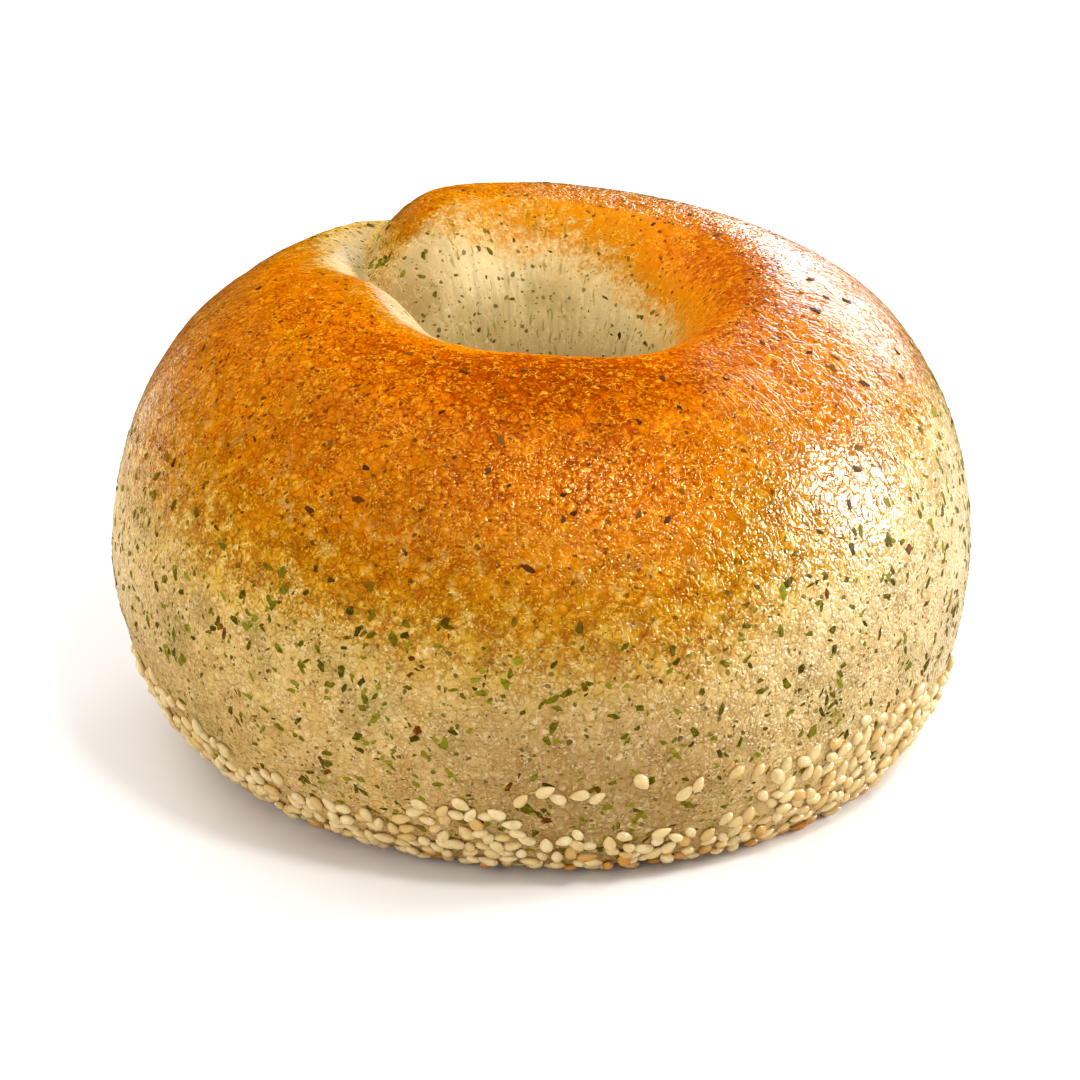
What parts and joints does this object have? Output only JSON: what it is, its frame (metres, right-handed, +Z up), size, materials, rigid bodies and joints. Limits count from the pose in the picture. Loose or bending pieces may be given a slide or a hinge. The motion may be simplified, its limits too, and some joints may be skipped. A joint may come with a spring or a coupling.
{
  "type": "herb bagel with sesame seeds",
  "caption": "Round baked herb bagel, tall and plump, with a small hole, overlapped rope ends at the rear left, a browned top and sesame seeds round its foot.",
  "frame": {"origin": "the middle of the bounding box's lowest face, on the flat base under the hole", "axes": "+Z up through the hole; the side where the rim of the hole dips lowest faces -Y; +X to the right seen from there"},
  "size_m": [0.1116, 0.1116, 0.0625],
  "materials": {
    "crust": "satin",
    "sesame": "satin",
    "herb": "matte"
  },
  "bodies": {
    "root": {"bagel": "crust"}
  },
  "joints": []
}
